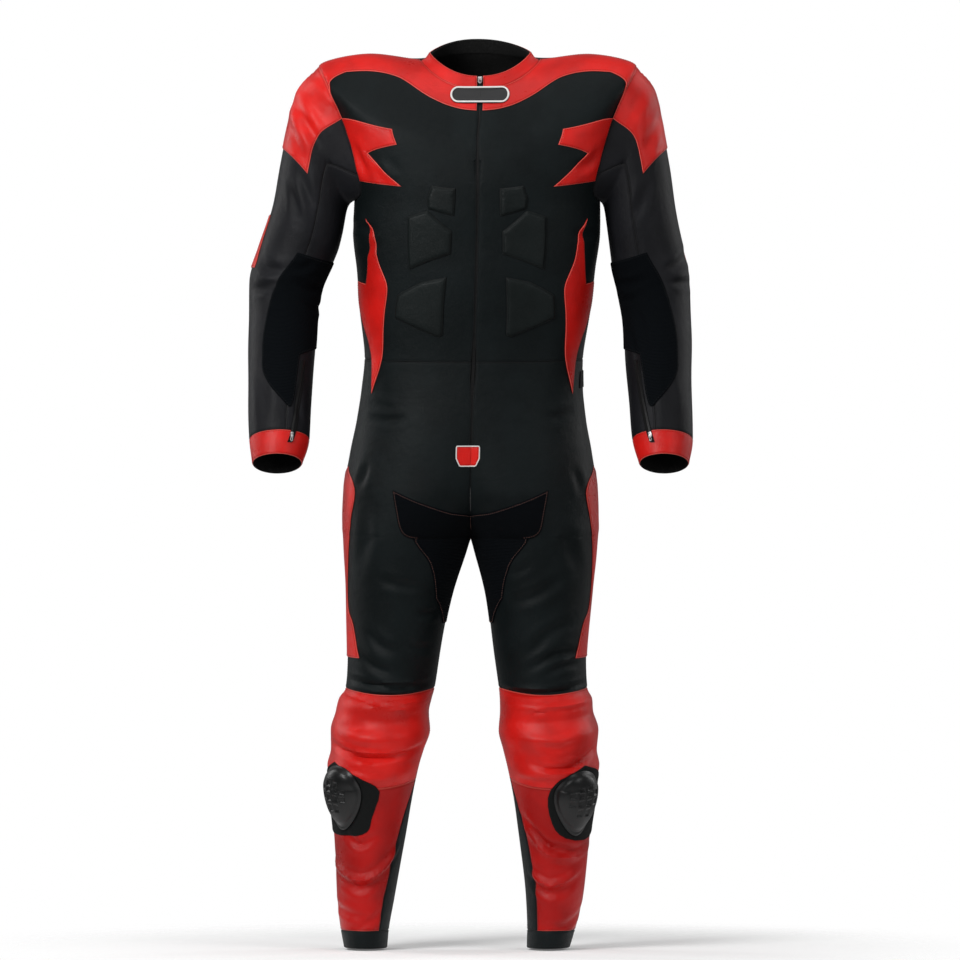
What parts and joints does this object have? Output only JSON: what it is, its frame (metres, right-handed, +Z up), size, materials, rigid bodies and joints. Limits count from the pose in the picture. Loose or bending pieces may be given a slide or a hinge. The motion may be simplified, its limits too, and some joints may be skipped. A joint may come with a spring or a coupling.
{
  "type": "motorcycle race suit",
  "caption": "One-piece leather race suit worn open and hollow: padded chest, accordion knees with hard sliders, stretch panels, front and forearm zips.",
  "frame": {"origin": "middle of the shoulders, where the rider's body carries the suit, level with the collar's foot", "axes": "+Z up from the hems to the collar, -Y is the suit's front, +X is the suit's own left side"},
  "size_m": [0.6895, 0.2946, 1.4068],
  "materials": {
    "black_leather": "soft semi-matt cowhide",
    "red_leather": "glossy pigmented cowhide",
    "stretch_cloth": "matt elastic woven panel",
    "lining_mesh": "matt soft lining",
    "hard_plastic": "moulded, scuff resistant",
    "zip_metal": "plated zip metal",
    "zip_tape": "woven zip tape",
    "hook_panel": "hook and loop panel",
    "woven_label": "plain woven label",
    "badge_rubber": "soft moulded badge with a pale rim"
  },
  "bodies": {
    "suit": {"arm_stretch_left": "stretch_cloth", "arm_stretch_right": "stretch_cloth", "badge": "badge_rubber", "calf_left": "black_leather", "calf_right": "black_leather", "chest_flash_left": "red_leather", "chest_flash_right": "red_leather", "chest_pad_low_left": "black_leather", "chest_pad_low_right": "black_leather", "chest_pad_mid_left": "black_leather", "chest_pad_mid_right": "black_leather", "chest_pad_top_left": "black_leather", "chest_pad_top_right": "black_leather", "collar": "red_leather", "collar_lining": "lining_mesh", "crotch_stretch_left": "stretch_cloth", "crotch_stretch_right": "stretch_cloth", "cuff_left": "red_leather", "cuff_right": "red_leather", "elbow_patch_left": "red_leather", "elbow_patch_right": "red_leather", "front_zip": "zip_tape", "hem_left": "black_leather", "hem_right": "black_leather", "knee_rolls_left": "red_leather", "knee_rolls_right": "red_leather", "knee_slider_left": "hard_plastic", "knee_slider_right": "hard_plastic", "shin_left": "red_leather", "shin_right": "red_leather", "shoulder_cap_left": "red_leather", "shoulder_cap_right": "red_leather", "side_flash_left": "red_leather", "side_flash_right": "red_leather", "side_label": "woven_label", "sleeve_inner_left": "black_leather", "sleeve_inner_right": "black_leather", "sleeve_outer_left": "black_leather", "sleeve_outer_right": "black_leather", "sleeve_zip_left": "zip_tape", "sleeve_zip_right": "zip_tape", "slider_base_left": "hook_panel", "slider_base_right": "hook_panel", "thigh_flash_left": "red_leather", "thigh_flash_right": "red_leather", "torso_back": "black_leather", "torso_front_left": "black_leather", "torso_front_right": "black_leather", "trouser_back_left": "black_leather", "trouser_back_right": "black_leather", "trouser_front_left": "black_leather", "trouser_front_right": "black_leather", "yoke_left": "red_leather", "yoke_right": "red_leather", "zip_slider": "zip_metal", "zip_tab": "red_leather"},
    "zip_pull_body": {"zip_pull": "zip_metal"},
    "sleeve_zip_pull_left_body": {"sleeve_zip_pull_left": "zip_metal"},
    "sleeve_zip_pull_right_body": {"sleeve_zip_pull_right": "zip_metal"}
  },
  "joints": [
    {"name": "zip_pull_swing", "type": "hinge", "parent": "suit", "child": "zip_pull_body", "pos_m": [0.011, -0.07127, -0.01532], "axis": [-1, 0, 0], "range_deg": [0, 150]},
    {"name": "sleeve_zip_pull_left_swing", "type": "hinge", "parent": "suit", "child": "sleeve_zip_pull_left_body", "pos_m": [0.27331, -0.14867, -0.56453], "axis": [-0.8724, 0.3895, -0.2955], "range_deg": [0, 150]},
    {"name": "sleeve_zip_pull_right_swing", "type": "hinge", "parent": "suit", "child": "sleeve_zip_pull_right_body", "pos_m": [-0.27969, -0.14871, -0.56453], "axis": [-0.8783, -0.3974, 0.2656], "range_deg": [0, 150]}
  ]
}
